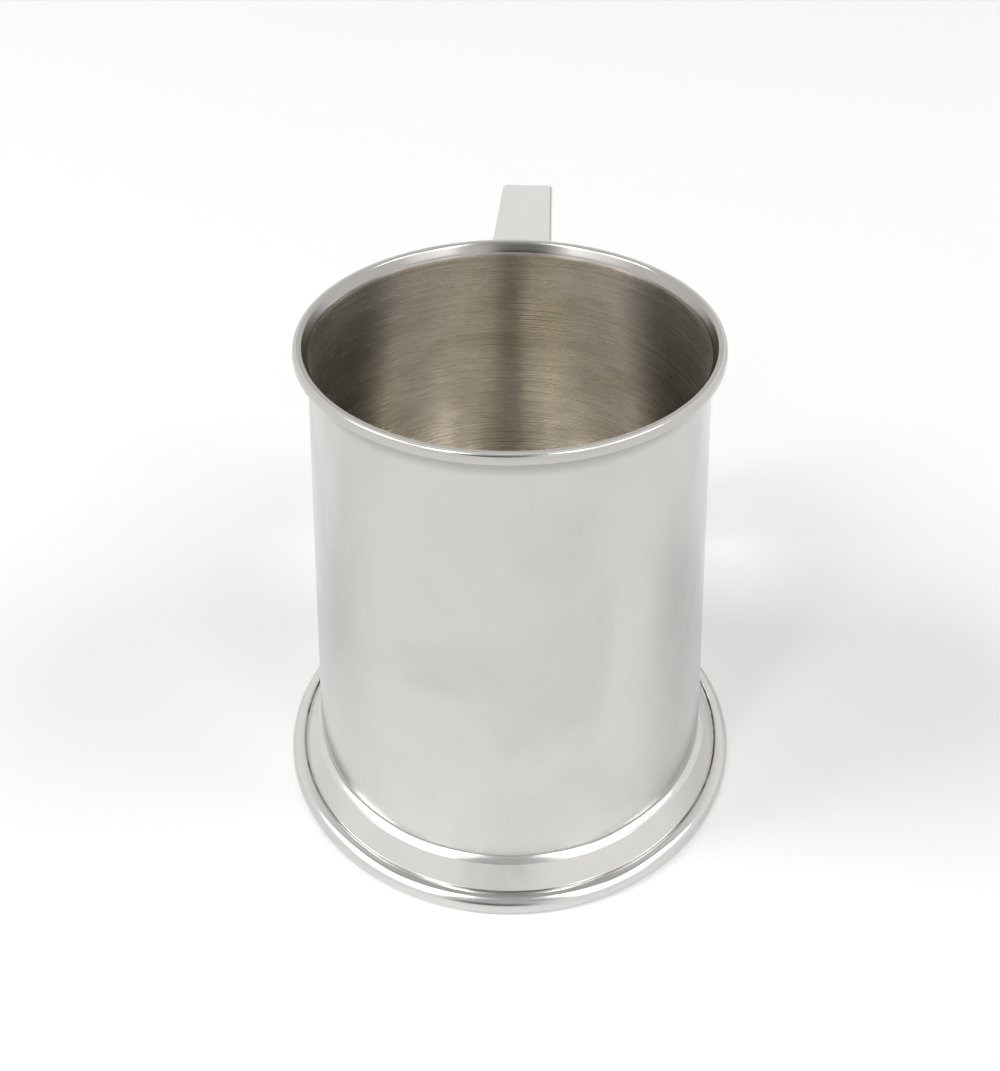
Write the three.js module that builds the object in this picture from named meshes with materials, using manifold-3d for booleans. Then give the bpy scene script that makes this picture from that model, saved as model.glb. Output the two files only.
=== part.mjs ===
// Silver pint tankard with a tapering drum, a wired lip, a moulded spread foot and a bracket handle.
// It is made as a silversmith makes it: rolled and spun sheet, drawn wires and cut strips, each a
// separate piece that is hard-soldered to its neighbours. Units are millimetres and +Z is up.
// The tankard stands on Z = 0 with its handle towards +Y, and the origin is the middle of the
// rectangle that it covers on the table.
import * as THREE from "three";
import { mergeVertices } from "three/addons/utils/BufferGeometryUtils.js";
import Module from "manifold-3d";

const wasm = await Module();
wasm.setup();

// Overall sizes
const HEIGHT = 118; // table to the top of the lip
const FOOT_HEIGHT = 10.6; // table to the top of the foot bead
const FOOT_SPREAD = 8.3; // foot wire beyond the drum at the bead
const SOLDER_GAP = 0.1; // left between neighbours for the solder to flow into

// Drum: a cone rolled from sheet, swept outwards at the lip
const DRUM_TOP_RADIUS = 40.7; // outside, where the cone would meet the top of the lip
const DRUM_BASE_RADIUS = 48.4; // outside, at the top of the foot bead
const DRUM_GAUGE = 0.8; // sheet thickness
const DRUM_BELOW_BEAD = 2.9; // lower end of the drum, down inside the foot
const LIP_HEIGHT = 4.2; // how far below the top the lip starts to sweep out
const LIP_FLARE = 2.1; // how far the lip sweeps out
const LIP_SET_DOWN = 0.3; // top edge of the sheet below the crown of the rim wire

// Base plate: a disc let into the drum
const BASE_SET_UP = 1.5; // underside of the plate above the drum's lower end
const BASE_GAUGE = 1;

// Rim wire: a half-round wire around the lip
const RIM_WIRE_HEIGHT = 2.2;
const RIM_WIRE_DEPTH = 0.85;

// Foot: a bead wire, a spun skirt below it, and a heavy wire that the tankard stands on
const BEAD_HEIGHT = 1.2;
const BEAD_DEPTH = 1.3;
const SKIRT_GAUGE = 1.1;
const SKIRT_COVE = 0.5; // radius of the cove that runs out to the foot wire
const SKIRT_SLOPE = 25; // degrees that the skirt leans back from upright
const SKIRT_LIFT = 0.3; // lower edge of the skirt above the table
const FOOT_WIRE_HEIGHT = 4.2;
const FOOT_WIRE_DEPTH = 3.95;
const FOOT_WIRE_WIDEST = 1.4; // table to the widest part of the wire
const FOOT_WIRE_TOE = 0.7; // how far the underside draws in from the widest part
const FOOT_WIRE_CROWN = 0.8; // how far the crown stands above its inner edge, and out from it

// Handle: a bracket of hollow box section, built from two bent straps and two flat sides
const HANDLE_BOTTOM = 31; // table to the lower face
const HANDLE_STANDOFF = 50.7; // drum to the outer face, along the upper arm
const HANDLE_LEAN = 5; // how far the grip leans in towards its lower corner
const HANDLE_DEPTH = 8; // outer face to inner face
const HANDLE_ROOT_WIDTH = 14.9; // width where the upper arm meets the drum
const HANDLE_GRIP_WIDTH = 13; // width at the upper corner
const OUTER_STRAP_GAUGE = 1.4; // heavy, so that its long edges can be filed round
const HANDLE_GAUGE = 0.8; // inner strap and sides
const UPPER_BEND_RADIUS = 4.5; // outside of the upper corner
const LOWER_BEND_RADIUS = 9; // outside of the lower corner
const LEAST_BEND_RADIUS = 1.6; // the tightest bend that a strap takes
const VENT_RADIUS = 0.6; // lets hot air out of the hollow handle while it is soldered
const VENT_ABOVE_ARM = 9; // vent above the inner face of the lower arm

// Pads: reinforcing plates between the thin drum and the ends of the handle
const PAD_GAUGE = 0.8;
const PAD_BORDER = 1; // pad beyond the handle's end, all round
const PAD_CORNER_RADIUS = 1.6;

// Fineness of the curves
const TURN_STEPS = 72;
const ARC_STEPS = 4;

// Places that follow from the sizes
const drumSlope = (DRUM_TOP_RADIUS - DRUM_BASE_RADIUS) / (HEIGHT - FOOT_HEIGHT);
const drumRadius = (z) => DRUM_BASE_RADIUS + drumSlope * (z - FOOT_HEIGHT);
const lipStart = HEIGHT - LIP_HEIGHT;
const beadBottom = FOOT_HEIGHT - BEAD_HEIGHT;
const drumBottom = beadBottom - DRUM_BELOW_BEAD;
const footRadius = DRUM_BASE_RADIUS + FOOT_SPREAD;
const skirtFootRadius = footRadius - FOOT_WIRE_DEPTH - SOLDER_GAP;
const wireShoulder = FOOT_WIRE_HEIGHT - FOOT_WIRE_CROWN;
const handleTop = lipStart - SOLDER_GAP - PAD_BORDER;
const rootRadius = drumRadius(handleTop);
const handleReach = rootRadius + HANDLE_STANDOFF;
const axisY = (footRadius - handleReach) / 2;

function silver(tone, roughness) {
  const color = new THREE.Color(tone, tone, 0.98 * tone);
  return new THREE.MeshStandardMaterial({ color, metalness: 1, roughness });
}
const polished = () => silver(0.8, 0.14);
const satin = () => silver(0.68, 0.34);

// A solid that can be cut and joined, from a closed three.js geometry.
function solid(geometry) {
  const bare = geometry.clone();
  bare.deleteAttribute("normal");
  bare.deleteAttribute("uv");
  const merged = mergeVertices(bare);
  const vertProperties = new Float32Array(merged.attributes.position.array);
  const triVerts = new Uint32Array(merged.index.array);
  return new wasm.Manifold(new wasm.Mesh({ numProp: 3, vertProperties, triVerts }));
}

// A named mesh from a solid.
function piece(name, body, material) {
  const made = body.getMesh();
  const places = new Float32Array(made.vertProperties);
  const geometry = new THREE.BufferGeometry();
  geometry.setAttribute("position", new THREE.BufferAttribute(places, 3));
  geometry.setIndex(new THREE.BufferAttribute(new Uint32Array(made.triVerts), 1));
  geometry.computeVertexNormals();
  const mesh = new THREE.Mesh(geometry, material);
  mesh.name = name;
  return mesh;
}

const flatPoints = (points) => points.map(([a, b]) => new THREE.Vector2(a, b));

// A solid turned about the drum's axis from a line of [radius, height] points. The line either
// starts and ends on the axis or comes back to its first point, and it runs with the metal on its left.
function turned(line) {
  return solid(new THREE.LatheGeometry(flatPoints(line), TURN_STEPS).rotateX(Math.PI / 2));
}

const ring = (profile) => turned([...profile, profile[0]]);

const extruded = (outline, depth) =>
  new THREE.ExtrudeGeometry(new THREE.Shape(flatPoints(outline)), { depth, bevelEnabled: false });

// A solid with an outline in Y and Z, of the given width across X.
function crosswise(outline, width) {
  const turn = new THREE.Matrix4().makeBasis(
    new THREE.Vector3(0, 1, 0),
    new THREE.Vector3(0, 0, 1),
    new THREE.Vector3(1, 0, 0),
  );
  return solid(extruded(outline, width).applyMatrix4(turn).translate(-width / 2, 0, 0));
}

// A solid with an outline in X and Z, from the drum's axis backwards.
const lengthwise = (outline, depth) =>
  solid(extruded(outline, depth).rotateX(Math.PI / 2).translate(0, depth, 0));

// Points of an ellipse's arc about [cx, cy], from one angle to another, both ends included.
function arc([cx, cy], rx, ry, from, to, steps) {
  return Array.from({ length: steps + 1 }, (_, i) => {
    const angle = from + ((to - from) * i) / steps;
    return [cx + rx * Math.cos(angle), cy + ry * Math.sin(angle)];
  });
}

// The outer half of an ellipse about [cx, cy], from its lowest point up to its highest.
const halfRound = (middle, depth, halfHeight) =>
  arc(middle, depth, halfHeight, -Math.PI / 2, Math.PI / 2, 2 * ARC_STEPS);

// The points of a round corner of the given radius at b, on the way from a to c.
function corner(a, b, c, radius) {
  const from = new THREE.Vector2(a[0] - b[0], a[1] - b[1]).normalize();
  const to = new THREE.Vector2(c[0] - b[0], c[1] - b[1]).normalize();
  const half = Math.acos(from.dot(to)) / 2;
  const run = radius / Math.tan(half);
  const toCentre = from.clone().add(to).setLength(radius / Math.sin(half));
  const centre = [b[0] + toCentre.x, b[1] + toCentre.y];
  const start = Math.atan2(from.y * run - toCentre.y, from.x * run - toCentre.x);
  const end = Math.atan2(to.y * run - toCentre.y, to.x * run - toCentre.x);
  const sweep = Math.atan2(Math.sin(end - start), Math.cos(end - start));
  return arc(centre, radius, radius, start, start + sweep, ARC_STEPS);
}

// Drum and base plate

// One face of the sheet, from the lower end up. The lip's sweep is a quarter of a wave.
function drumFace(inset) {
  const rise = LIP_HEIGHT - LIP_SET_DOWN;
  const sweep = Array.from({ length: ARC_STEPS }, (_, i) => {
    const share = (i + 1) / ARC_STEPS;
    const z = lipStart + rise * share;
    return [drumRadius(z) + LIP_FLARE * (1 - Math.cos((share * Math.PI) / 2)) - inset, z];
  });
  const wall = [drumBottom, lipStart].map((z) => [drumRadius(z) - inset, z]);
  return [...wall, ...sweep];
}

const drum = () => ring([...drumFace(0), ...drumFace(DRUM_GAUGE).reverse()]);

function basePlate() {
  const low = drumBottom + BASE_SET_UP;
  const high = low + BASE_GAUGE;
  const edge = [low, high].map((z) => [drumRadius(z) - DRUM_GAUGE - SOLDER_GAP, z]);
  return turned([[0, low], ...edge, [0, high]]);
}

// Rim wire, with its flat back clear of the widest part of the lip
function rimWire() {
  const back = DRUM_TOP_RADIUS + LIP_FLARE + SOLDER_GAP;
  const middle = [back, HEIGHT - RIM_WIRE_HEIGHT / 2];
  return ring(halfRound(middle, RIM_WIRE_DEPTH, RIM_WIRE_HEIGHT / 2));
}

// Foot

function footBead() {
  const back = (z) => drumRadius(z) + SOLDER_GAP;
  const middle = [back(beadBottom), beadBottom + BEAD_HEIGHT / 2];
  const round = halfRound(middle, BEAD_DEPTH, BEAD_HEIGHT / 2);
  return ring([...round, [back(FOOT_HEIGHT), FOOT_HEIGHT]]);
}

// The skirt hugs the drum under the bead, leans out as a straight cone, runs out to the foot wire in
// a small cove and drops straight down inside the wire.
function footSkirt() {
  const top = beadBottom - SOLDER_GAP;
  const topRadius = drumRadius(top) + SOLDER_GAP + SKIRT_GAUGE;
  const upright = -Math.PI / 2;
  const coneEnd = THREE.MathUtils.degToRad(SKIRT_SLOPE) - Math.PI;
  const coveMiddle = [skirtFootRadius, wireShoulder + SKIRT_COVE];
  const cove = arc(coveMiddle, SKIRT_COVE, SKIRT_COVE, upright, coneEnd, ARC_STEPS);
  const face = (inset) =>
    [[skirtFootRadius, SKIRT_LIFT], ...cove, [topRadius, top]].map(([r, z]) => [r - inset, z]);
  return ring([...face(0), ...face(SKIRT_GAUGE).reverse()]);
}

// The foot wire has a flat underside, an ovolo outside and a crown that falls to a quirk at the skirt.
function footWire() {
  const back = skirtFootRadius + SOLDER_GAP;
  const crown = back + FOOT_WIRE_CROWN;
  const toe = [footRadius - FOOT_WIRE_TOE, FOOT_WIRE_WIDEST];
  const rise = FOOT_WIRE_HEIGHT - FOOT_WIRE_WIDEST;
  const under = arc(toe, FOOT_WIRE_TOE, FOOT_WIRE_WIDEST, -Math.PI / 2, 0, ARC_STEPS);
  const ovolo = arc([crown, FOOT_WIRE_WIDEST], footRadius - crown, rise, 0, Math.PI / 2, 2 * ARC_STEPS);
  return ring([[back, 0], ...under, ...ovolo.slice(1), [back, wireShoulder]]);
}

// Handle

// The bracket's line at a depth inside its outer face, from the drum's axis out and back again.
function bracketLine(depth) {
  const drop = handleTop - HANDLE_BOTTOM;
  const step = (depth * Math.hypot(drop, HANDLE_LEAN)) / drop;
  const grip = (z) => [handleReach - step - (HANDLE_LEAN * (handleTop - z)) / drop, z];
  const upper = grip(handleTop - depth);
  const lower = grip(HANDLE_BOTTOM + depth);
  const start = [0, upper[1]];
  const end = [0, lower[1]];
  const bend = (radius) => Math.max(radius - depth, LEAST_BEND_RADIUS);
  return [
    start,
    ...corner(start, upper, lower, bend(UPPER_BEND_RADIUS)),
    ...corner(upper, lower, end, bend(LOWER_BEND_RADIUS)),
    end,
  ];
}

// The strip of the bracket between two depths, wider than the handle.
const bracketBand = (outer, inner) =>
  crosswise([...bracketLine(inner), ...bracketLine(outer).reverse()], 2 * HANDLE_ROOT_WIDTH);

// Half of the handle's width at a distance from the drum's axis: it narrows towards the grip.
function halfWidth(y) {
  const share = (y - rootRadius) / HANDLE_STANDOFF;
  return (HANDLE_ROOT_WIDTH + (HANDLE_GRIP_WIDTH - HANDLE_ROOT_WIDTH) * share) / 2;
}

// The space between two upright planes that narrow as the handle does, each given by its place
// across the handle for a half width.
function between(left, right) {
  const far = handleReach + HANDLE_DEPTH;
  const near = halfWidth(0);
  const end = halfWidth(far);
  return solid(extruded([[left(near), 0], [right(near), 0], [right(end), far], [left(end), far]], HEIGHT));
}

// A solid cone that follows the outside of the drum at a distance.
function drumCone(distance) {
  const edge = [0, HEIGHT].map((z) => [drumRadius(z) + distance, z]);
  return turned([[0, 0], ...edge, [0, HEIGHT]]);
}

const padFace = SOLDER_GAP + PAD_GAUGE;
const handleEnds = drumCone(padFace + SOLDER_GAP);
const fullWidth = between((half) => -half, (half) => half);

const strap = (outer, inner) => bracketBand(outer, inner).intersect(fullWidth).subtract(handleEnds);

const outerStrap = () => strap(0, OUTER_STRAP_GAUGE);

function innerStrap() {
  const vent = new THREE.CylinderGeometry(VENT_RADIUS, VENT_RADIUS, HANDLE_DEPTH, 3 * ARC_STEPS);
  const ventHeight = HANDLE_BOTTOM + HANDLE_DEPTH + VENT_ABOVE_ARM;
  vent.translate(0, handleReach - HANDLE_LEAN - HANDLE_DEPTH, ventHeight);
  return strap(HANDLE_DEPTH - HANDLE_GAUGE, HANDLE_DEPTH).subtract(solid(vent));
}

// A side plate fills the bracket between the two straps, within a slab on its own side.
function sidePlate(slab) {
  const outer = OUTER_STRAP_GAUGE + SOLDER_GAP;
  const inner = HANDLE_DEPTH - HANDLE_GAUGE - SOLDER_GAP;
  return bracketBand(outer, inner).intersect(slab).subtract(handleEnds);
}

const leftSide = () => sidePlate(between((half) => -half, (half) => HANDLE_GAUGE - half));
const rightSide = () => sidePlate(between((half) => half - HANDLE_GAUGE, (half) => half));

// A pad is sheet curved to the drum, under the arm whose lower face is at the given height.
function pad(armBottom) {
  const side = HANDLE_ROOT_WIDTH / 2 + PAD_BORDER;
  const low = armBottom - PAD_BORDER;
  const high = armBottom + HANDLE_DEPTH + PAD_BORDER;
  const square = [[-side, low], [side, low], [side, high], [-side, high]];
  const outline = square.flatMap((point, i) =>
    corner(square[(i + 3) % 4], point, square[(i + 1) % 4], PAD_CORNER_RADIUS));
  return drumCone(padFace).intersect(lengthwise(outline, handleReach)).subtract(drumCone(SOLDER_GAP));
}

const tankard = new THREE.Group();
tankard.position.y = axisY;
tankard.add(
  piece("drum", drum(), polished()),
  piece("base_plate", basePlate(), satin()),
  piece("rim_wire", rimWire(), polished()),
  piece("foot_bead", footBead(), polished()),
  piece("foot_skirt", footSkirt(), polished()),
  piece("foot_wire", footWire(), polished()),
  piece("handle_outer_strap", outerStrap(), polished()),
  piece("handle_inner_strap", innerStrap(), polished()),
  piece("handle_left_side", leftSide(), polished()),
  piece("handle_right_side", rightSide(), polished()),
  piece("handle_upper_pad", pad(handleTop - HANDLE_DEPTH), polished()),
  piece("handle_lower_pad", pad(HANDLE_BOTTOM), polished()),
);

const part = new THREE.Group();
part.add(tankard);
export default part;
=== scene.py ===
# Silver pint tankard: a tapering drum with a wired lip, a moulded spread foot and a bracket handle.
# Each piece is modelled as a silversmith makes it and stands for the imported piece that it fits.
import math

import bmesh
import bpy
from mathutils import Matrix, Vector


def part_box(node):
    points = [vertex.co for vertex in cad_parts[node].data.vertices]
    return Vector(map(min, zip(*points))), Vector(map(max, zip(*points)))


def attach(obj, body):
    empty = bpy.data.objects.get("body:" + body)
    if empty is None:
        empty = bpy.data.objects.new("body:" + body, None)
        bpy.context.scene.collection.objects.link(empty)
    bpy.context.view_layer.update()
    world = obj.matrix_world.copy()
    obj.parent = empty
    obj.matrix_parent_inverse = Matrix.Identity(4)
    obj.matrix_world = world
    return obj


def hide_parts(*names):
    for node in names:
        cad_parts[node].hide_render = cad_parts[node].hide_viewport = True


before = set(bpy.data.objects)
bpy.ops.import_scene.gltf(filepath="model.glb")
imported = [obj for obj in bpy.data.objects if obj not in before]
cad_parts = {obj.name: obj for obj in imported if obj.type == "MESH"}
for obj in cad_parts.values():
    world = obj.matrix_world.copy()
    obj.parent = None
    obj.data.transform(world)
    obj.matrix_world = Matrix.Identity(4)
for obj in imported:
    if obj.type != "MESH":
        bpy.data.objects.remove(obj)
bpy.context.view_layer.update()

# Drum
# A cone rolled from 0.8 mm silver sheet and swept outwards at the lip. The outside is polished to a
# soft mirror. The inside is only brushed, and drink has dulled it.
MM = 0.001
foot_low, foot_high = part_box("foot_wire")
bead_low, bead_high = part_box("foot_bead")
drum_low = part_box("drum")[0]
rim_low, rim_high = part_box("rim_wire")
AXIS = Vector(((foot_low.x + foot_high.x) / 2, (foot_low.y + foot_high.y) / 2, 0))
TOP = rim_high.z
CONE_TOP_RADIUS = 40.7 * MM
CONE_BASE_RADIUS = 48.4 * MM
CONE_BASE_HEIGHT = bead_high.z
DRUM_GAUGE = 0.8 * MM
LIP_HEIGHT = 4.2 * MM
LIP_FLARE = 2.1 * MM
LIP_ROUND = 0.45 * MM
LIP_LEAN = math.radians(30)
# The inside of the lip: millimetres below the top, and how far the bore is opened out there.
LIP_BORE = (
    (0.25, 1.86), (0.6, 1.65), (1.1, 1.37), (1.6, 1.08), (1.9, 0.92), (2.2, 0.79), (2.5, 0.7), (2.8, 0.63),
    (3.2, 0.58), (4.2, 0.51), (6, 0.37), (9, 0.18), (12, 0.07), (16, 0),
)
DRUM_WAVES = 0.05 * MM
DRUM_WAVE_LENGTH = 30 * MM
WAVES_FADE = 14 * MM
NOISE_MIDDLE = 0.5
ROUND_STEPS = 224
WALL_STEPS = 26
LIP_STEPS = 8
BORE_STEPS = 22
MERGE_WITHIN = 0.002 * MM
SHARP_EDGE = math.radians(38)


def cone_radius(z):
    share = (z - CONE_BASE_HEIGHT) / (TOP - CONE_BASE_HEIGHT)
    return CONE_BASE_RADIUS + (CONE_TOP_RADIUS - CONE_BASE_RADIUS) * share


def wall_radius(z):
    """The outside of the drum's wall at a height: the cone, and the sweep of the lip."""
    share = max(0, (z - TOP + LIP_HEIGHT) / LIP_HEIGHT)
    return cone_radius(z) + LIP_FLARE * (1 - math.cos(share * math.pi / 2))


def steps(start, end, count):
    """Evenly spaced values from start to end, both included."""
    return [start + (end - start) * i / count for i in range(count + 1)]


def arc(centre, radii, start, end, count):
    """Points of an ellipse's arc between two angles in degrees."""
    angles = [math.radians(a) for a in steps(start, end, count)]
    return [(centre[0] + radii[0] * math.cos(a), centre[1] + radii[1] * math.sin(a)) for a in angles]


def draw_line(name, points):
    """A new piece in edit mode: one vertex, extruded from point to point."""
    bpy.ops.object.select_all(action="DESELECT")
    bpy.ops.mesh.primitive_plane_add(size=MM)
    piece = bpy.context.object
    piece.name = piece.data.name = name
    bpy.ops.object.mode_set(mode="EDIT")
    bpy.ops.mesh.merge(type="CENTER")
    bpy.ops.transform.translate(value=points[0])
    for last, point in zip(points, points[1:]):
        bpy.ops.mesh.extrude_region_move(TRANSFORM_OT_translate={"value": Vector(point) - Vector(last)})
    return piece


def close_mesh():
    bpy.ops.mesh.select_all(action="SELECT")
    bpy.ops.mesh.remove_doubles(threshold=MERGE_WITHIN)
    bpy.ops.mesh.normals_make_consistent(inside=False)
    bpy.ops.object.mode_set(mode="OBJECT")
    bpy.ops.object.shade_smooth_by_angle(angle=SHARP_EDGE)


def spin_profile(name, profile):
    """A turned piece: its profile of (radius, height) points is drawn and spun about the axis."""
    piece = draw_line(name, [(AXIS.x + r, AXIS.y, z) for r, z in profile])
    bpy.ops.mesh.select_all(action="SELECT")
    bpy.ops.mesh.spin(steps=ROUND_STEPS, angle=math.tau, center=AXIS, axis=(0, 0, 1))
    close_mesh()
    return piece


def apply_modifier(piece, modifier):
    bpy.context.view_layer.objects.active = piece
    bpy.ops.object.modifier_apply(modifier=modifier.name)


def uneven(piece, depth, length, low, high):
    """The slight waviness that hand work leaves in the metal, fading out at two held heights."""
    free = piece.vertex_groups.new(name="free")
    for vertex in piece.data.vertices:
        share = min(vertex.co.z - low, high - vertex.co.z) / WAVES_FADE
        free.add([vertex.index], max(0, min(1, share)), "REPLACE")
    waves = bpy.data.textures.new(piece.name + "_waves", "CLOUDS")
    waves.noise_scale = length
    bend = piece.modifiers.new("waves", "DISPLACE")
    bend.texture = waves
    bend.strength = depth
    bend.mid_level = NOISE_MIDDLE
    bend.texture_coords = "LOCAL"
    bend.vertex_group = free.name
    apply_modifier(piece, bend)


def mount(piece, node):
    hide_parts(node)
    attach(piece, "root")


lip_start = TOP - LIP_HEIGHT
lip_bore = [(cone_radius(TOP - d * MM) - DRUM_GAUGE + out * MM, TOP - d * MM) for d, out in LIP_BORE]
bore_start = lip_bore[-1][1]
round_end = TOP - LIP_ROUND * (1 - math.sin(LIP_LEAN))
round_centre = lip_bore[0][0] + LIP_ROUND * math.cos(LIP_LEAN)
outer_heights = steps(drum_low.z, lip_start, WALL_STEPS) + steps(lip_start, TOP, LIP_STEPS)[1:]
inner_heights = steps(bore_start, drum_low.z, BORE_STEPS)
lip_turn = 180 - math.degrees(LIP_LEAN)
drum_profile = [(wall_radius(z), z) for z in outer_heights]
drum_profile += arc((round_centre, TOP - LIP_ROUND), (LIP_ROUND, LIP_ROUND), 90, lip_turn, LIP_STEPS)
drum_profile += lip_bore[1:]
drum_profile += [(cone_radius(z) - DRUM_GAUGE, z) for z in inner_heights[1:]]
drum_profile += drum_profile[:1]
drum_body = spin_profile("drum_body", drum_profile)
uneven(drum_body, DRUM_WAVES, DRUM_WAVE_LENGTH, bead_high.z, lip_start)


def put(tree, kind, inputs=None, **settings):
    """Adds a node. An input is a value, or the socket that it is linked to."""
    made = tree.nodes.new(kind)
    for name, value in settings.items():
        setattr(made, name, value)
    for key, value in (inputs or {}).items():
        if isinstance(value, bpy.types.NodeSocket):
            tree.links.new(value, made.inputs[key])
        else:
            made.inputs[key].default_value = value
    return made


def computed(tree, operation, *values):
    return put(tree, "ShaderNodeMath", dict(enumerate(values)), operation=operation).outputs[0]


def noise(tree, place, scale=1.0, detail=4.0, distortion=0.0, roughness=0.55):
    inputs = {"Vector": place, "Scale": scale, "Detail": detail}
    inputs.update({"Roughness": roughness, "Distortion": distortion})
    return put(tree, "ShaderNodeTexNoise", inputs).outputs["Fac"]


def stretched(tree, place, scale, turn=(0, 0, 0), shift=(0, 0, 0)):
    inputs = {"Vector": place, "Scale": scale, "Rotation": turn, "Location": shift}
    return put(tree, "ShaderNodeMapping", inputs).outputs["Vector"]


def ramp(tree, value, low, high, out_low=0.0, out_high=1.0):
    inputs = {"Value": value, "From Min": low, "From Max": high, "To Min": out_low, "To Max": out_high}
    return put(tree, "ShaderNodeMapRange", inputs, interpolation_type="SMOOTHSTEP").outputs["Result"]


def mixed(tree, share, low, high, blend="MIX"):
    inputs = {0: share, 6: low, 7: high}
    return put(tree, "ShaderNodeMix", inputs, data_type="RGBA", blend_type=blend).outputs[2]


def new_group(name, inputs, outputs):
    group = bpy.data.node_groups.new(name, "ShaderNodeTree")
    for kind, label in inputs:
        group.interface.new_socket(label, in_out="INPUT", socket_type=kind)
    for kind, label in outputs:
        group.interface.new_socket(label, in_out="OUTPUT", socket_type=kind)
    return group, group.nodes.new("NodeGroupInput").outputs, group.nodes.new("NodeGroupOutput").inputs


# Marks of use on polished silver: short straight scratches, cloudy smears of the cloth, a few pits.
VALUE = "NodeSocketFloat"
VECTOR = "NodeSocketVector"
handling_marks, given, result = new_group(
    "handling_marks",
    [(VECTOR, "Place"), (VALUE, "Scratches"), (VALUE, "Smears")],
    [(VALUE, "Tone"), (VALUE, "Roughness"), (VALUE, "Height")],
)
SCRATCH_TURNS = ((0.35, 0.2, 0.5), (1.1, 0.7, 0.2), (0.6, 1.3, 1.9))
SCRATCH_SPREAD = (1500, 1500, 45)
SCRATCH_EDGE = (0.69, 0.78)
WORN_SCALE = 75.0
WORN_EDGE = (0.5, 0.66)
SMEAR_SPREAD = (34, 34, 22)
SMEAR_EDGE = (0.36, 0.7)
PIT_SCALE = 110.0
PIT_EDGE = (0.02, 0.045)
PITTED_SCALE = 60.0
PITTED_EDGE = (0.58, 0.68)
SMEARS_DARKEN = 0.06
SMEARS_DULL = 0.07
PITS_DARKEN = 0.3
SCRATCHES_DARKEN = 0.06
SCRATCHES_DULL = 0.18
SCRATCH_DEPTH = -0.4


def times(tree, first, *others):
    for other in others:
        first = computed(tree, "MULTIPLY", first, other)
    return first


place = given["Place"]
scratches = 0.0
for turn in SCRATCH_TURNS:
    streak = noise(handling_marks, stretched(handling_marks, place, SCRATCH_SPREAD, turn), detail=1.0)
    scratches = computed(handling_marks, "MAXIMUM", scratches, ramp(handling_marks, streak, *SCRATCH_EDGE))
worn_here = ramp(handling_marks, noise(handling_marks, place, WORN_SCALE), *WORN_EDGE)
scratches = times(handling_marks, scratches, worn_here, given["Scratches"])
smear_place = stretched(handling_marks, place, SMEAR_SPREAD)
smears = noise(handling_marks, smear_place, detail=5.0, distortion=0.8)
smears = times(handling_marks, ramp(handling_marks, smears, *SMEAR_EDGE), given["Smears"])
pit_cells = put(handling_marks, "ShaderNodeTexVoronoi", {"Vector": place, "Scale": PIT_SCALE})
pits = ramp(handling_marks, pit_cells.outputs["Distance"], *PIT_EDGE, 1.0, 0.0)
pitted_here = noise(handling_marks, place, PITTED_SCALE, detail=1.0)
pitted_here = ramp(handling_marks, pitted_here, *PITTED_EDGE)
pits = times(handling_marks, pits, pitted_here, given["Scratches"])
tone = 1.0
for marks, share in ((smears, SMEARS_DARKEN), (pits, PITS_DARKEN), (scratches, SCRATCHES_DARKEN)):
    tone = computed(handling_marks, "SUBTRACT", tone, times(handling_marks, marks, share))
dull_smears = times(handling_marks, smears, SMEARS_DULL)
rough = computed(handling_marks, "ADD", dull_smears, times(handling_marks, scratches, SCRATCHES_DULL))
height = computed(handling_marks, "SUBTRACT", times(handling_marks, scratches, SCRATCH_DEPTH), pits)
handling_marks.links.new(tone, result["Tone"])
handling_marks.links.new(rough, result["Roughness"])
handling_marks.links.new(height, result["Height"])


def new_material(name):
    """A material of metal with its shader, and where each point lies on the piece."""
    material = bpy.data.materials.new(name)
    material.use_nodes = True
    tree = material.node_tree
    shader = tree.nodes["Principled BSDF"]
    shader.inputs["Metallic"].default_value = 1
    return material, tree, shader, put(tree, "ShaderNodeTexCoord").outputs["Object"]


MARKS_STRENGTH = 0.3
MARKS_DEPTH = 0.02 * MM


def polished_silver(name, colour, roughness, scratches=1.0, smears=1.0):
    """Polished silver with its marks of use."""
    material, tree, shader, place = new_material(name)
    inputs = {"Place": place, "Scratches": scratches, "Smears": smears}
    marks = put(tree, "ShaderNodeGroup", inputs, node_tree=handling_marks)
    grey = put(tree, "ShaderNodeCombineColor", {i: marks.outputs["Tone"] for i in range(3)}).outputs[0]
    relief = {"Strength": MARKS_STRENGTH, "Distance": MARKS_DEPTH, "Height": marks.outputs["Height"]}
    bump = put(tree, "ShaderNodeBump", relief)
    tree.links.new(mixed(tree, 1.0, (*colour, 1), grey, "MULTIPLY"), shader.inputs["Base Color"])
    tree.links.new(computed(tree, "ADD", marks.outputs["Roughness"], roughness), shader.inputs["Roughness"])
    tree.links.new(bump.outputs["Normal"], shader.inputs["Normal"])
    return material


PATCH_SPREAD = (30, 30, 60)
PATCH_EDGE = (0.35, 0.68)
PATCH_TINT = (0.8, 0.78, 0.74)
LINE_EDGE = (0.45, 0.75)
LINE_SHARE = 0.09
LINE_LIGHTENS = 1.1
LINE_ROUGHNESS = (0.3, 0.7, -0.02, 0.02)
LINE_STRENGTH = 0.1
LINE_DEPTH = 0.002 * MM
BRUSHED_ANISOTROPY = 0.95
QUARTER_TURN = 0.25


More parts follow.
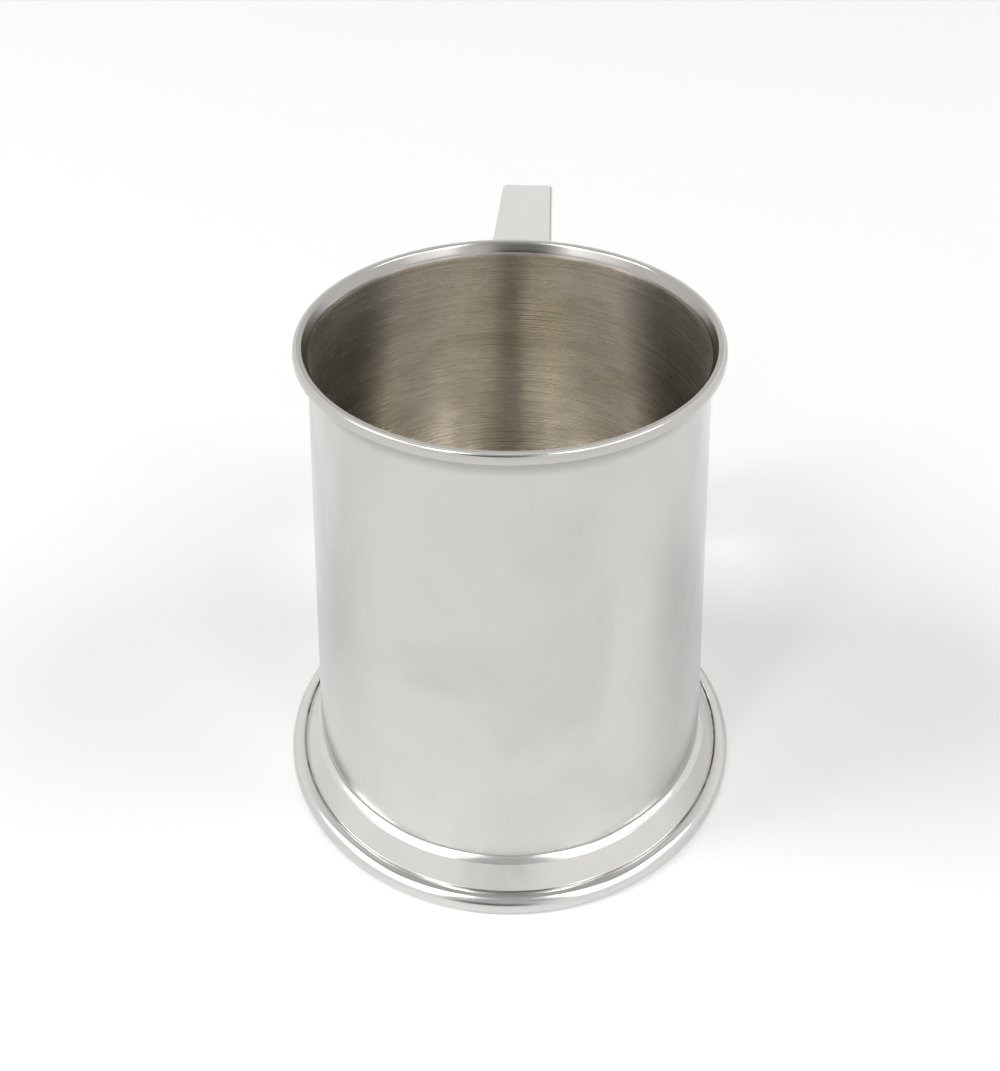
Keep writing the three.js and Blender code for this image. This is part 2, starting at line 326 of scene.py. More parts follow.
def brushed_silver(name, colour, roughness, brush, dulled=1.0):
    """Silver left from the scratch brush: fine lines round the axis, dull patches, no mirror."""
    material, tree, shader, place = new_material(name)
    lines = noise(tree, stretched(tree, place, brush), detail=6.0, distortion=0.3, roughness=0.7)
    patches = noise(tree, stretched(tree, place, PATCH_SPREAD), detail=5.0, distortion=0.9)
    dull = (*(part * tint for part, tint in zip(colour, PATCH_TINT)), 1)
    light = (*(min(1, part * LINE_LIGHTENS) for part in colour), 1)
    shade = mixed(tree, ramp(tree, patches, *PATCH_EDGE, 0.0, dulled), (*colour, 1), dull)
    shade = mixed(tree, ramp(tree, lines, *LINE_EDGE, 0.0, LINE_SHARE), shade, light)
    rough = computed(tree, "ADD", ramp(tree, lines, *LINE_ROUGHNESS), roughness)
    bump = put(tree, "ShaderNodeBump", {"Strength": LINE_STRENGTH, "Distance": LINE_DEPTH, "Height": lines})
    shader.inputs["Anisotropic"].default_value = BRUSHED_ANISOTROPY
    shader.inputs["Anisotropic Rotation"].default_value = QUARTER_TURN
    around = put(tree, "ShaderNodeTangent", direction_type="RADIAL", axis="Z")
    tree.links.new(shade, shader.inputs["Base Color"])
    tree.links.new(rough, shader.inputs["Roughness"])
    tree.links.new(bump.outputs["Normal"], shader.inputs["Normal"])
    tree.links.new(around.outputs["Tangent"], shader.inputs["Tangent"])
    return material, tree, shader, place, shade, rough


SILVER = (0.642, 0.638, 0.622)
DRUM_SILVER = (0.618, 0.613, 0.594)
DRUM_ROUGHNESS = 0.15
# A dark colour for painted shade on the drum, then the heights where it is laid under the rim and over the
# bead.
PAINTED_SHADE_COLOUR = (0.3, 0.28, 0.26, 1)
UNDER_RIM_SHADE = (TOP - 6.8 * MM, TOP - 4 * MM, 0.0, 0.6)
OVER_BEAD_SHADE = (bead_high.z + 0.9 * MM, bead_high.z + 0.1 * MM, 0.0, 0.4)
INSIDE_SILVER = (0.724, 0.69, 0.626)
INSIDE_ROUGHNESS = 0.27
INSIDE_BRUSH = (14, 14, 2200)
LIP_ROUGHNESS = 0.12
# The brown of the stains under the lip, also used for the painted shade there.
LIP_TARNISH_AND_SHADE = (0.36, 0.27, 0.2, 1)
POLISH_ENDS = TOP - 1.5 * MM
BRUSH_STARTS = TOP - 2.3 * MM
STAIN_STARTS = TOP - 6 * MM
STAIN_SCALE = 70.0
STAIN = (0.48, 0.75, 0.0, 0.4)
# Painted shade: the heights over which the inside darkens towards the lip, and how strongly.
LIP_SHADE_BAND = (TOP - 9 * MM, TOP - 3 * MM, 0.0, 0.15)

# Outside, the drum's colour is darkened under the rim and just over the bead: painted shade, standing in
# for the darker reflections there.
drum_outside = polished_silver("drum_outside", DRUM_SILVER, DRUM_ROUGHNESS, scratches=0.45, smears=1.4)
tree = drum_outside.node_tree
shader = tree.nodes["Principled BSDF"]
place = put(tree, "ShaderNodeTexCoord").outputs["Object"]
up = put(tree, "ShaderNodeSeparateXYZ", {0: place}).outputs["Z"]
clean = shader.inputs["Base Color"].links[0].from_socket
# Painted shade: the drum's colour is darkened under the rim and over the bead.
painted_shade = computed(tree, "MAXIMUM", ramp(tree, up, *UNDER_RIM_SHADE), ramp(tree, up, *OVER_BEAD_SHADE))
tree.links.new(mixed(tree, painted_shade, clean, PAINTED_SHADE_COLOUR), shader.inputs["Base Color"])

# Inside, the brushing stops below the polished lip, and stains gather along that line. Below the lip the
# inside is also darkened in a band of painted shade.
drum_inside, tree, shader, place, shade, rough = brushed_silver(
    "drum_inside", INSIDE_SILVER, INSIDE_ROUGHNESS, INSIDE_BRUSH)
up = put(tree, "ShaderNodeSeparateXYZ", {0: place}).outputs["Z"]
brushed = ramp(tree, up, BRUSH_STARTS, POLISH_ENDS, 1.0, 0.0)
under_lip = times(tree, ramp(tree, up, STAIN_STARTS, BRUSH_STARTS), brushed)
stain = ramp(tree, noise(tree, place, STAIN_SCALE, distortion=0.6), *STAIN)
shade = mixed(tree, times(tree, under_lip, stain), shade, LIP_TARNISH_AND_SHADE)
# Painted shade: the inside darkens towards the lip, in the same brown as the stains.
shade = mixed(tree, ramp(tree, up, *LIP_SHADE_BAND), shade, LIP_TARNISH_AND_SHADE)
shade = mixed(tree, brushed, (*SILVER, 1), shade)
tree.links.new(shade, shader.inputs["Base Color"])
rougher = computed(tree, "SUBTRACT", rough, LIP_ROUGHNESS)
rough = computed(tree, "MULTIPLY_ADD", brushed, rougher, LIP_ROUGHNESS)
tree.links.new(rough, shader.inputs["Roughness"])
drum_body.data.materials.append(drum_outside)
drum_body.data.materials.append(drum_inside)
LEVEL_FACE = 0.8
for face in drum_body.data.polygons:
    towards_axis = face.normal.dot(AXIS - face.center) > 0 and face.center.z < round_end
    face.material_index = int(towards_axis and abs(face.normal.z) < LEVEL_FACE)
mount(drum_body, "drum")

# Base plate
# A disc of 1 mm sheet soldered into the lower end of the drum. Its faces keep the fine rings of the
# turning that trued it, and underneath a small mark where the compasses stood.
plate_low, plate_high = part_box("base_plate")
PLATE_DOME = 0.5 * MM
CENTRE_MARK_RADIUS = 0.5 * MM
CENTRE_MARK_DEPTH = 0.25 * MM
PLATE_STEPS = 20
BASE_SILVER = (0.8, 0.775, 0.725)
BASE_ROUGHNESS = 0.1
BASE_BRUSH = (40, 40, 800)
BASE_DULLED = 0.35


def plate_face(z):
    edge = cone_radius(z) - DRUM_GAUGE
    radii = steps(CENTRE_MARK_RADIUS, edge, PLATE_STEPS)
    return [(r, z + PLATE_DOME * (1 - (r / edge) ** 2)) for r in radii]


plate_under = plate_face(plate_low.z)
plate_top = plate_face(plate_high.z)
mark = [(0, plate_low.z + PLATE_DOME + CENTRE_MARK_DEPTH)]
crown = [(0, plate_high.z + PLATE_DOME)]
base_disc = spin_profile("base_disc", mark + plate_under + plate_top[::-1] + crown)
turned_silver = brushed_silver("base_disc", BASE_SILVER, BASE_ROUGHNESS, BASE_BRUSH, BASE_DULLED)[0]
base_disc.data.materials.append(turned_silver)
mount(base_disc, "base_plate")

# Rim wire
# A drawn wire bent round the outside of the lip and soldered there. Its outside is rounded and its
# top is filed flush with the sheet, so the two make one lip with a flat top and a crisp outer edge.
RIM_FACE = 2.7 * MM
RIM_EDGE = 0.35 * MM
RIM_UNDERSIDE = 0.48 * MM
FACE_STARTS, FACE_ENDS = -8, 27
CORNER_STEPS = 7
FACE_STEPS = 10
RIM_SILVER = (0.558, 0.546, 0.52)
RIM_ROUGHNESS = 0.14
rim_outer = (rim_high.x - rim_low.x) / 2
face_middle = TOP - RIM_EDGE - (RIM_FACE - RIM_EDGE) * math.sin(math.radians(FACE_ENDS))
face_centre = (rim_outer - RIM_FACE, face_middle)


def rim_corner(radius, turn, end):
    """A small round that leaves the wire's face at one angle and ends at another."""
    inset = RIM_FACE - radius
    angle = math.radians(turn)
    centre = (face_centre[0] + inset * math.cos(angle), face_centre[1] + inset * math.sin(angle))
    return arc(centre, (radius, radius), turn, end, CORNER_STEPS)


rim_side = rim_corner(RIM_UNDERSIDE, FACE_STARTS, -90)[::-1]
rim_side += arc(face_centre, (RIM_FACE, RIM_FACE), FACE_STARTS, FACE_ENDS, FACE_STEPS)[1:]
rim_side += rim_corner(RIM_EDGE, FACE_ENDS, 90)[1:]
rim_back = [(wall_radius(z), z) for z in steps(TOP, rim_side[0][1], LIP_STEPS)]
lip_wire = spin_profile("lip_wire", rim_side + rim_back + rim_side[:1])
rim_silver = polished_silver("lip_wire", RIM_SILVER, RIM_ROUGHNESS, scratches=0.7, smears=0.6)
lip_wire.data.materials.append(rim_silver)
mount(lip_wire, "rim_wire")

# Foot bead
# A bead wire soldered round the drum where the foot begins, polished down to a shallow round. It hides
# the joint of the drum and the skirt, and its lower edge sits on the skirt.
BEAD_FOOT = bead_low.z + 0.1 * MM
CROWN_STARTS, CROWN_ENDS = 43, 65
CROWN_STEPS = 14
BEAD_ROUGHNESS = 0.17
bead_outer = (bead_high.x - bead_low.x) / 2
bead_root = cone_radius(bead_high.z)
crown_start, crown_end = math.radians(CROWN_STARTS), math.radians(CROWN_ENDS)
crown_radius = (bead_outer - bead_root) / (math.cos(crown_start) - math.cos(crown_end))
crown_centre = (
    bead_outer - crown_radius * math.cos(crown_start),
    bead_high.z - crown_radius * math.sin(crown_end),
)
bead_profile = [(cone_radius(BEAD_FOOT), BEAD_FOOT), (bead_outer, BEAD_FOOT)]
bead_profile += arc(crown_centre, (crown_radius, crown_radius), CROWN_STARTS, CROWN_ENDS, CROWN_STEPS)
bead_profile += bead_profile[:1]
bead_moulding = spin_profile("bead_moulding", bead_profile)
bead_silver = polished_silver("bead_moulding", SILVER, BEAD_ROUGHNESS, scratches=0.7, smears=0.6)
bead_moulding.data.materials.append(bead_silver)
mount(bead_moulding, "foot_bead")

# Foot skirt
# Spun from sheet: a plain slope that spreads from the bead, and a fall inside the foot wire. Its lower
# edge meets the wire in a shallow quirk, where the polishing cloth can't reach and tarnish gathers.
skirt_low, skirt_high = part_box("foot_skirt")
SKIRT_GAUGE = 1 * MM
SKIRT_SLOPE = 31.5
QUIRK_OUT = 0.6 * MM
QUIRK_HEIGHT = 3.75 * MM
WIRE_SHOULDER = 2.75 * MM
SKIRT_STEPS = 12
SKIRT_SILVER = (0.68, 0.667, 0.643)
SKIRT_ROUGHNESS = 0.14
SKIRT_TARNISH = (-0.2 * MM, -0.03 * MM)
TARNISH = (0.2, 0.155, 0.12, 1)
TARNISH_ROUGHNESS = 0.45
TARNISH_SPECKS = 260.0
TARNISH_PATCHES = 48.0
SPECKS_SHARE = 2.2
PATCHES_SHARE = 1.4
TARNISH_EDGE = (0.7, 1.15)
QUIRK_EDGE = (0.0, 0.2)
skirt_outer = (skirt_high.x - skirt_low.x) / 2
quirk_radius = skirt_outer + QUIRK_OUT
lean = math.radians(SKIRT_SLOPE)
skirt_top = quirk_radius - (BEAD_FOOT - QUIRK_HEIGHT) * math.tan(lean)
skirt_inside = skirt_outer - SKIRT_GAUGE
inside_top = cone_radius(BEAD_FOOT)
inside_turn = BEAD_FOOT - (skirt_inside - inside_top) / math.tan(lean)
skirt_profile = [(skirt_outer, skirt_low.z), (skirt_outer, WIRE_SHOULDER)]
slope_radii = steps(quirk_radius, skirt_top, SKIRT_STEPS)
skirt_profile += [(r, BEAD_FOOT - (r - skirt_top) / math.tan(lean)) for r in slope_radii]
skirt_profile += [(inside_top, BEAD_FOOT), (skirt_inside, inside_turn), (skirt_inside, skirt_low.z)]
spun_skirt = spin_profile("spun_skirt", skirt_profile + skirt_profile[:1])

# Tarnish in a quirk: it grows from a mask that says how deep in the quirk a point lies.
quirk_tarnish, given, result = new_group(
    "quirk_tarnish",
    [(VECTOR, "Place"), (VALUE, "Depth")],
    [(VALUE, "Mask")],
)
place = given["Place"]
specks = noise(quirk_tarnish, place, TARNISH_SPECKS, detail=5.0, distortion=0.4, roughness=0.6)
patches = noise(quirk_tarnish, place, TARNISH_PATCHES, detail=2.0)
reach = given["Depth"]
for spread, share in ((specks, SPECKS_SHARE), (patches, PATCHES_SHARE)):
    spread = computed(quirk_tarnish, "SUBTRACT", spread, NOISE_MIDDLE)
    reach = computed(quirk_tarnish, "MULTIPLY_ADD", spread, share, reach)
in_quirk = ramp(quirk_tarnish, given["Depth"], *QUIRK_EDGE)
mask = times(quirk_tarnish, ramp(quirk_tarnish, reach, *TARNISH_EDGE), in_quirk)
quirk_tarnish.links.new(mask, result["Mask"])


def add_tarnish(material, starts, ends):
    """Lays tarnish over a polished material, between two distances from the quirk."""
    tree = material.node_tree
    shader = tree.nodes["Principled BSDF"]
    place = put(tree, "ShaderNodeTexCoord").outputs["Object"]
    flat = stretched(tree, place, (1, 1, 0), shift=(-AXIS.x, -AXIS.y, 0))
    from_axis = put(tree, "ShaderNodeVectorMath", {0: flat}, operation="LENGTH").outputs["Value"]
    depth = ramp(tree, from_axis, quirk_radius + starts, quirk_radius + ends)
    quirk = put(tree, "ShaderNodeGroup", {"Place": place, "Depth": depth}, node_tree=quirk_tarnish)
    clean = shader.inputs["Base Color"].links[0].from_socket
    tree.links.new(mixed(tree, quirk.outputs["Mask"], clean, TARNISH), shader.inputs["Base Color"])
    smooth = shader.inputs["Roughness"].links[0].from_socket
    matt = computed(tree, "SUBTRACT", TARNISH_ROUGHNESS, smooth)
    rough = computed(tree, "MULTIPLY_ADD", quirk.outputs["Mask"], matt, smooth)
    tree.links.new(rough, shader.inputs["Roughness"])
    return material


skirt_silver = add_tarnish(polished_silver("spun_skirt", SKIRT_SILVER, SKIRT_ROUGHNESS), *SKIRT_TARNISH)
spun_skirt.data.materials.append(skirt_silver)
mount(spun_skirt, "foot_skirt")

# Foot wire
# A heavy ovolo wire soldered round the skirt. The tankard stands on its flat underside, and tarnish
# gathers along its inner edge as it does on the skirt.
WIRE_WIDEST = 1.4 * MM
WIRE_TOE = 0.7 * MM
WIRE_CROWN = 1.2 * MM
TOE_STEPS = 10
OVOLO_STEPS = 22
WIRE_ROUGHNESS = 0.13
WIRE_TARNISH = (0.2 * MM, 0.02 * MM)
foot_outer = (foot_high.x - foot_low.x) / 2
wire_crown = skirt_outer + WIRE_CROWN
wire_toe = arc((foot_outer - WIRE_TOE, WIRE_WIDEST), (WIRE_TOE, WIRE_WIDEST), -90, 0, TOE_STEPS)
wire_rise = (foot_outer - wire_crown, foot_high.z - WIRE_WIDEST)
wire_ovolo = arc((wire_crown, WIRE_WIDEST), wire_rise, 0, 90, OVOLO_STEPS)
quirk_fall = (wire_crown - quirk_radius, foot_high.z - QUIRK_HEIGHT)
wire_fall = arc((wire_crown, QUIRK_HEIGHT), quirk_fall, 90, 180, TOE_STEPS)
wire_fall += [(skirt_outer, WIRE_SHOULDER)]
wire_profile = [(skirt_outer, 0)] + wire_toe + wire_ovolo[1:] + wire_fall[1:]
ovolo_wire = spin_profile("ovolo_wire", wire_profile + wire_profile[:1])
wire_silver = add_tarnish(polished_silver("ovolo_wire", SILVER, WIRE_ROUGHNESS), *WIRE_TARNISH)
ovolo_wire.data.materials.append(wire_silver)
mount(ovolo_wire, "foot_wire")

# Handle straps and sides
# The handle is a hollow bracket: two bent straps with two flat sides between them, soldered along
# the corners. The outer strap's long edges are filed round, and the grip narrows away from the drum.
strap_low, strap_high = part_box("handle_outer_strap")
HANDLE_TOP = strap_high.z
HANDLE_BOTTOM = strap_low.z
HANDLE_STANDOFF = 50.7 * MM
HANDLE_LEAN = 5 * MM
HANDLE_DEPTH = 8 * MM
OUTER_GAUGE = 1.4 * MM
INNER_GAUGE = 0.8 * MM
HANDLE_ROOT_WIDTH = 14.9 * MM
HANDLE_GRIP_WIDTH = 13 * MM
FILED_EDGE = 1.15 * MM
UPPER_BEND = 4.5 * MM
LOWER_BEND = 9 * MM
LEAST_BEND = 1.6 * MM
PAD_GAUGE = 0.8 * MM
VENT_RADIUS = 0.6 * MM
VENT_HEIGHT = HANDLE_BOTTOM + HANDLE_DEPTH + 9 * MM
VENT_SIDES = 32
UPPER_STOCK = 6 * MM
LOWER_STOCK = 2 * MM
UPPER_STEPS = 12
LOWER_STEPS = 16
FILED_STEPS = 6
STRAP_EDGE = 0.12 * MM
SOFT_ANGLE = math.radians(40)
SEAT_GAP = 0.01 * MM
FACING = 0.5
HANDLE_SILVER = (0.678, 0.672, 0.65)
HANDLE_ROUGHNESS = 0.11
root_radius = cone_radius(HANDLE_TOP)
handle_reach = root_radius + HANDLE_STANDOFF
TAPER = (HANDLE_ROOT_WIDTH - HANDLE_GRIP_WIDTH) / 2 / HANDLE_STANDOFF


def round_corner(before, at, after, radius, count):
    """Points of a round corner, in the plane of the bracket."""
    at = Vector(at)
    back = (Vector(before) - at).normalized()
    on = (Vector(after) - at).normalized()
    half = back.angle(on) / 2
    centre = at + (back + on).normalized() * radius / math.sin(half)
    start = at + back * radius / math.tan(half) - centre
    turn = math.copysign(math.pi - 2 * half, -back.cross(on))
    points = []
    for angle in steps(0, turn, count):
        c, s = math.cos(angle), math.sin(angle)
        points.append(centre + Vector((c * start.x - s * start.y, s * start.x + c * start.y)))
    return points


def bracket_line(depth):
    """The bracket's line at a depth inside its outer face, as (distance from the axis, height)."""
    drop = HANDLE_TOP - HANDLE_BOTTOM
    step = depth * math.hypot(drop, HANDLE_LEAN) / drop
    upper_z = HANDLE_TOP - depth
    lower_z = HANDLE_BOTTOM + depth
    upper = (handle_reach - step - HANDLE_LEAN * (HANDLE_TOP - upper_z) / drop, upper_z)
    lower = (handle_reach - step - HANDLE_LEAN * (HANDLE_TOP - lower_z) / drop, lower_z)
    start = (root_radius - UPPER_STOCK, upper_z)
    end = (root_radius - LOWER_STOCK, lower_z)
    first = round_corner(start, upper, lower, max(UPPER_BEND - depth, LEAST_BEND), UPPER_STEPS)
    second = round_corner(upper, lower, end, max(LOWER_BEND - depth, LEAST_BEND), LOWER_STEPS)
    return [start, *first, *second, end]


def bevel_edges(piece, wanted, width, segments):
    """Rounds the edges that a test picks out, in edit mode."""
    bpy.ops.mesh.select_mode(type="EDGE")
    bpy.ops.mesh.select_all(action="DESELECT")
    mesh = bmesh.from_edit_mesh(piece.data)
    for edge in [edge for edge in mesh.edges if wanted(edge)]:
        edge.select_set(True)
    bmesh.update_edit_mesh(piece.data)
    bpy.ops.mesh.bevel(offset=width, segments=segments, affect="EDGES")
    bpy.ops.mesh.select_mode(type="VERT")


def file_edges(piece, width):
    """Rounds the long edges of the strap's outer face."""
    middle = Vector((0, AXIS.y + root_radius + HANDLE_STANDOFF / 2, (HANDLE_TOP + HANDLE_BOTTOM) / 2))

    def is_long_edge(edge):
        face, side = sorted(edge.link_faces, key=lambda f: abs(f.normal.x))
        outwards = face.normal.dot(face.calc_center_median() - middle) > 0 and face.normal.y > -FACING
        return outwards and abs(face.normal.x) < FACING < abs(side.normal.x)

    bevel_edges(piece, is_long_edge, width, FILED_STEPS)


def bracket_plate(name, outer, inner, left, right, filed=0):
    """A plate or strap: the bracket's outline between two depths, made solid and cut to the taper."""
    outline = bracket_line(outer) + bracket_line(inner)[::-1]
    piece = draw_line(name, [(AXIS.x - HANDLE_ROOT_WIDTH, AXIS.y + y, z) for y, z in outline])
    bpy.ops.mesh.select_all(action="SELECT")
    bpy.ops.mesh.edge_face_add()
    bpy.ops.mesh.select_all(action="SELECT")
    bpy.ops.mesh.extrude_region_move(TRANSFORM_OT_translate={"value": (2 * HANDLE_ROOT_WIDTH, 0, 0)})
    bpy.ops.mesh.select_all(action="SELECT")
    bpy.ops.mesh.normals_make_consistent(inside=False)
    for offset, facing in ((left, -1), (right, 1)):
        side = math.copysign(1, offset)
        point = (AXIS.x + offset, AXIS.y + root_radius, 0)
        across = (facing, facing * side * TAPER, 0)
        bpy.ops.mesh.select_all(action="SELECT")
        bpy.ops.mesh.bisect(plane_co=point, plane_no=across, use_fill=True, clear_outer=True)
    if filed:
        file_edges(piece, filed)
    close_mesh()
    return piece


def cut_with(piece, tool, operation):
    """A Boolean cut with a tool that is then thrown away."""
    cut = piece.modifiers.new("cut", "BOOLEAN")
    cut.object = tool
    cut.operation = operation
    apply_modifier(piece, cut)
    bpy.data.objects.remove(tool)
    bpy.ops.object.select_all(action="DESELECT")
    piece.select_set(True)
    bpy.ops.object.shade_smooth_by_angle(angle=SHARP_EDGE)


def drum_shape(lift):
    """A solid of the drum's cone, a little larger, to cut with."""
    profile = [(0, 0), (cone_radius(0) + lift, 0), (cone_radius(TOP) + lift, TOP), (0, TOP)]
    return spin_profile("seat", profile)


def soften(piece, width, segments):
    bevel = piece.modifiers.new("edges", "BEVEL")
    bevel.width = width
    bevel.segments = segments
    bevel.limit_method = "ANGLE"
    bevel.angle_limit = SOFT_ANGLE
    apply_modifier(piece, bevel)
    bpy.ops.object.select_all(action="DESELECT")
    piece.select_set(True)
    bpy.ops.object.shade_smooth_by_angle(angle=SHARP_EDGE)


half_width = HANDLE_ROOT_WIDTH / 2
inner_depth = HANDLE_DEPTH - INNER_GAUGE
handle_silver = polished_silver("handle", HANDLE_SILVER, HANDLE_ROUGHNESS)
outer_strap = bracket_plate("outer_strap", 0, OUTER_GAUGE, -half_width, half_width, FILED_EDGE)
inner_strap = bracket_plate("inner_strap", inner_depth, HANDLE_DEPTH, -half_width, half_width)
side_width = half_width - INNER_GAUGE
left_plate = bracket_plate("left_plate", OUTER_GAUGE, inner_depth, -half_width, -side_width)
right_plate = bracket_plate("right_plate", OUTER_GAUGE, inner_depth, side_width, half_width)
soften(inner_strap, STRAP_EDGE, segments=2)

# The vent lets hot air out of the closed handle while it is soldered.
bpy.ops.object.select_all(action="DESELECT")
vent_place = (AXIS.x, AXIS.y + handle_reach - HANDLE_DEPTH, VENT_HEIGHT)
bpy.ops.mesh.primitive_cylinder_add(
    vertices=VENT_SIDES,
    radius=VENT_RADIUS,
    depth=3 * HANDLE_DEPTH,
    location=vent_place,
    rotation=(math.pi / 2, 0, 0),
)
cut_with(inner_strap, bpy.context.object, "DIFFERENCE")
for node, piece in (
    ("handle_outer_strap", outer_strap),
    ("handle_inner_strap", inner_strap),
    ("handle_left_side", left_plate),
    ("handle_right_side", right_plate),
):
    cut_with(piece, drum_shape(PAD_GAUGE + SEAT_GAP), "DIFFERENCE")
    piece.data.materials.append(handle_silver)
    mount(piece, node)

# Handle pads
# Small plates of sheet curved to the drum, one under each end of the handle. They spread the pull of
# the handle over the thin wall.
PAD_CORNER = 1.6 * MM
PAD_CORNER_STEPS = 6
PAD_EDGE = 0.15 * MM
PAD_STOCK = 8 * MM


def runs_through(edge):
    return abs(edge.verts[0].co.y - edge.verts[1].co.y) > PAD_STOCK / 2


for name, node in (("upper_pad", "handle_upper_pad"), ("lower_pad", "handle_lower_pad")):
    pad_low, pad_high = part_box(node)
    bpy.ops.object.select_all(action="DESELECT")
    bpy.ops.mesh.primitive_cube_add(size=1)
    pad = bpy.context.object
    pad.name = pad.data.name = name
    bpy.ops.object.mode_set(mode="EDIT")
    size = (pad_high.x - pad_low.x, PAD_STOCK, pad_high.z - pad_low.z)
    bpy.ops.transform.resize(value=size, center_override=(0, 0, 0))
    middle_x = (pad_low.x + pad_high.x) / 2
    middle_z = (pad_low.z + pad_high.z) / 2
    bpy.ops.transform.translate(value=(middle_x, AXIS.y + cone_radius(pad_low.z), middle_z))
    bevel_edges(pad, runs_through, PAD_CORNER, PAD_CORNER_STEPS)
    bpy.ops.object.mode_set(mode="OBJECT")
    cut_with(pad, drum_shape(PAD_GAUGE), "INTERSECT")
    cut_with(pad, drum_shape(0), "DIFFERENCE")
    soften(pad, PAD_EDGE, segments=3)
    pad.data.materials.append(handle_silver)
    mount(pad, node)

# Table, light and camera
# A plain white table, a soft lamp on each side, and a pale room: dim overhead and in one far corner, dark
# behind the camera, with a window on each side there. The camera stands where the photograph's did.
TABLE_SIZE = 12
TABLE_HEIGHT = -0.05 * MM
TABLE_WHITE = 0.92
TABLE_ROUGHNESS = 0.9
TABLE_GLOW = 0.12
bpy.ops.object.select_all(action="DESELECT")
bpy.ops.mesh.primitive_plane_add(size=TABLE_SIZE, location=(0, 0, TABLE_HEIGHT))
table = bpy.context.object
table.name = "table"
table_white = bpy.data.materials.new("table_white")
table_white.use_nodes = True
tree = table_white.node_tree
shader = tree.nodes["Principled BSDF"]
shader.inputs["Base Color"].default_value = (TABLE_WHITE, TABLE_WHITE, TABLE_WHITE, 1)
shader.inputs["Roughness"].default_value = TABLE_ROUGHNESS
shader.inputs["Specular IOR Level"].default_value = 0
shader.inputs["Emission Color"].default_value = (1, 1, 1, 1)


def seen_directly(tree):
    """One for what the camera sees, also in metal or through glass, and nothing for the light it gives."""
    ray = put(tree, "ShaderNodeLightPath").outputs
    seen = computed(tree, "MAXIMUM", ray["Is Camera Ray"], ray["Is Glossy Ray"])
    return computed(tree, "MAXIMUM", seen, ray["Is Transmission Ray"])


tree.links.new(times(tree, seen_directly(tree), TABLE_GLOW), shader.inputs["Emission Strength"])
table.data.materials.append(table_white)

# Each lamp's name, its azimuth from the front and its elevation in degrees, and its power.
LAMPS = (("lamp_left", -79, 44, 40), ("lamp_right", 82, 46, 26))
LAMP_DISTANCE = 3
LAMP_SIZE = 1.1
for name, azimuth, elevation, power in LAMPS:
    light = bpy.data.lights.new(name, "AREA")
    light.size = LAMP_SIZE
    light.energy = power
    lamp = bpy.data.objects.new(name, light)
    bpy.context.collection.objects.link(lamp)
    turn, lift = math.radians(azimuth), math.radians(elevation)
    away = Vector((math.sin(turn) * math.cos(lift), -math.cos(turn) * math.cos(lift), math.sin(lift)))
    lamp.location = AXIS + Vector((0, 0, TOP / 2)) + away * LAMP_DISTANCE
    lamp.rotation_euler = away.to_track_quat("Z", "Y").to_euler()
    lamp.visible_camera = False

# The room: levels of brightness, azimuths from the front in degrees, and rises, each the sine of an
# elevation. Where there are four edges, the first two fade in and the last two fade out. Each window has
# its level, azimuths and rises, and the last two are the brighter panes of the first two.
WALL_LEVEL = 1.02
OVERHEAD_LEVEL = 0.47
OVERHEAD_RISE = (0.38, 0.85)
BACK_AZIMUTH = (95, 125)
BACK_RAISED = -0.25
FRONT_LOW_LEVEL = 0.06
FRONT_HIGH_LEVEL = 0.58
FRONT_LEVEL_RISE = (0.34, 0.6)
FRONT_AZIMUTH = -4
FRONT_WIDTH = (8, 26)
FRONT_RISE = (0.165, 0.22, 0.75, 0.95)
CORNER_LEVEL = 0.65
CORNER_AZIMUTH = (120, 138, 166, 176)
CORNER_RISE = (-0.05, 0.02, 0.16, 0.28)
WINDOWS = (
    (2.0, (-76, -62, -36, -24), (0.3, 0.44, 0.9, 0.98)),
    (2.0, (30, 41, 60, 70), (0.3, 0.44, 0.9, 0.98)),
    (16.0, (-45, -40, -34, -29), (0.46, 0.6, 0.9, 0.98)),
    (10.0, (33, 38, 46, 51), (0.46, 0.6, 0.9, 0.98)),
)
UNSEEN_LEVEL = 0.345
world = bpy.data.worlds.new("room")
bpy.context.scene.world = world
world.use_nodes = True
room = world.node_tree
direction = put(room, "ShaderNodeTexCoord").outputs["Generated"]
looking = put(room, "ShaderNodeSeparateXYZ", {0: direction}).outputs
rise = looking["Z"]
turned = computed(room, "ARCTAN2", looking["X"], times(room, looking["Y"], -1.0))


def radians_of(degrees):
    return [math.radians(angle) for angle in degrees]


def between(value, start, end, other_start, other_end):
    """One inside a range with soft edges, and nothing outside it."""
    return times(room, ramp(room, value, start, end), ramp(room, value, other_start, other_end, 1.0, 0.0))


def area_of(azimuths, rises):
    return times(room, between(turned, *radians_of(azimuths)), between(rise, *rises))


def laid_over(mask, over, under):
    return computed(room, "MULTIPLY_ADD", mask, computed(room, "SUBTRACT", over, under), under)


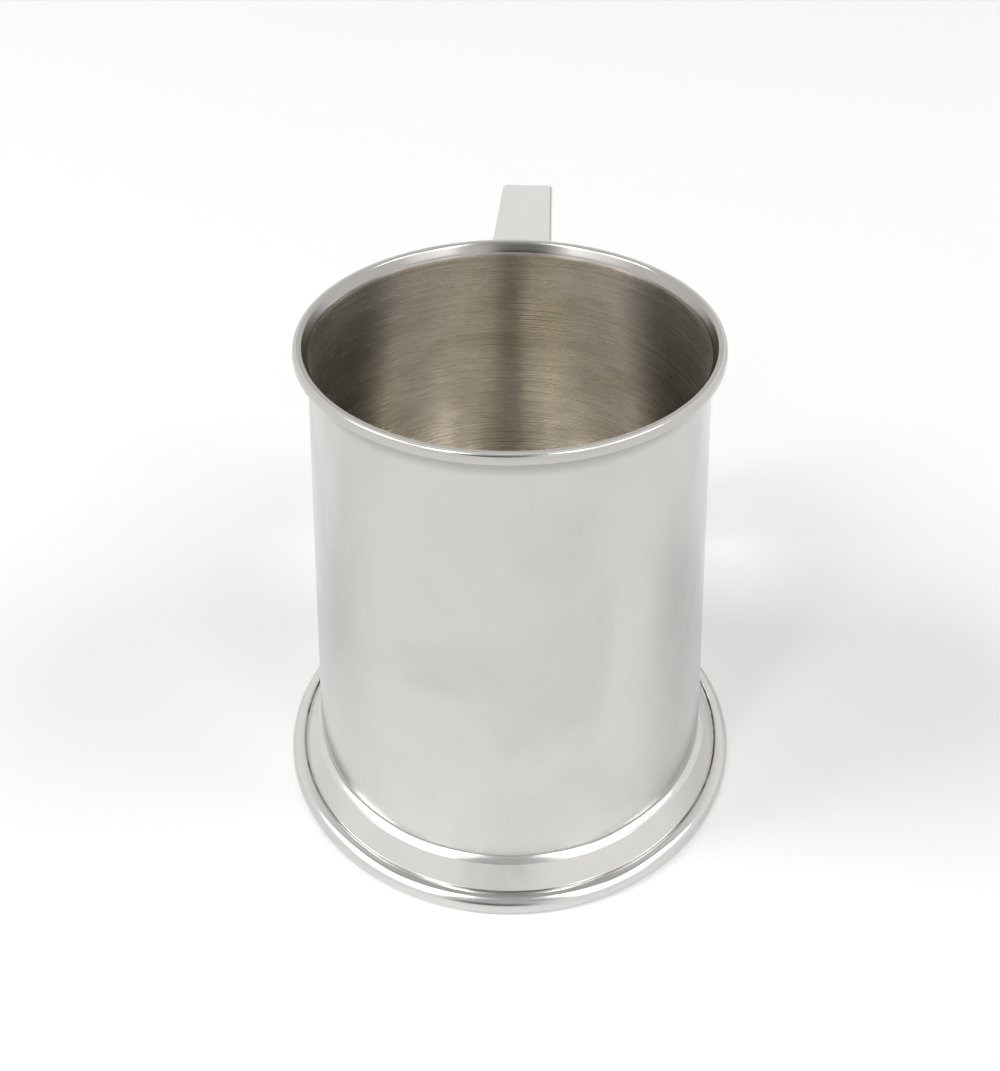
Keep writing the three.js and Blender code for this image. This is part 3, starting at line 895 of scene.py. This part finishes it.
behind = ramp(room, computed(room, "ABSOLUTE", turned), *radians_of(BACK_AZIMUTH), 0.0, BACK_RAISED)
level = ramp(room, computed(room, "ADD", rise, behind), *OVERHEAD_RISE, WALL_LEVEL, OVERHEAD_LEVEL)
across = computed(room, "ABSOLUTE", computed(room, "SUBTRACT", turned, math.radians(FRONT_AZIMUTH)))
front = times(room, ramp(room, across, *radians_of(FRONT_WIDTH), 1.0, 0.0), between(rise, *FRONT_RISE))
front_level = ramp(room, rise, *FRONT_LEVEL_RISE, FRONT_LOW_LEVEL, FRONT_HIGH_LEVEL)
level = laid_over(front, front_level, level)
level = laid_over(area_of(CORNER_AZIMUTH, CORNER_RISE), CORNER_LEVEL, level)
for window_level, azimuths, rises in WINDOWS:
    level = laid_over(area_of(azimuths, rises), window_level, level)
level = times(room, level, ramp(room, seen_directly(room), 0.0, 1.0, UNSEEN_LEVEL, 1.0))
room.links.new(level, room.nodes["Background"].inputs["Strength"])
room.nodes["Background"].inputs["Color"].default_value = (1, 1, 1, 1)

PHOTO_HEIGHT = 1071
FOCAL_PIXELS = 1175.9
AXIS_OFF_CENTRE = 10
CAMERA_AZIMUTH = math.radians(3.03)
CAMERA_PITCH = math.radians(38.884)
CAMERA_DISTANCE = 210.52 * MM
CAMERA_HEIGHT = 234.98 * MM
NEAREST = 0.01
SENSOR = 36
lens = bpy.data.cameras.new("camera")
lens.sensor_width = SENSOR
lens.lens = SENSOR * FOCAL_PIXELS / PHOTO_HEIGHT
lens.shift_x = -AXIS_OFF_CENTRE / PHOTO_HEIGHT
lens.clip_start = NEAREST
camera = bpy.data.objects.new("camera", lens)
bpy.context.collection.objects.link(camera)
camera.location = AXIS + Vector((
    CAMERA_DISTANCE * math.sin(CAMERA_AZIMUTH),
    -CAMERA_DISTANCE * math.cos(CAMERA_AZIMUTH),
    CAMERA_HEIGHT,
))
camera.rotation_euler = (math.pi / 2 - CAMERA_PITCH, 0, CAMERA_AZIMUTH)
bpy.context.scene.camera = camera
bpy.context.scene.view_settings.view_transform = "Standard"
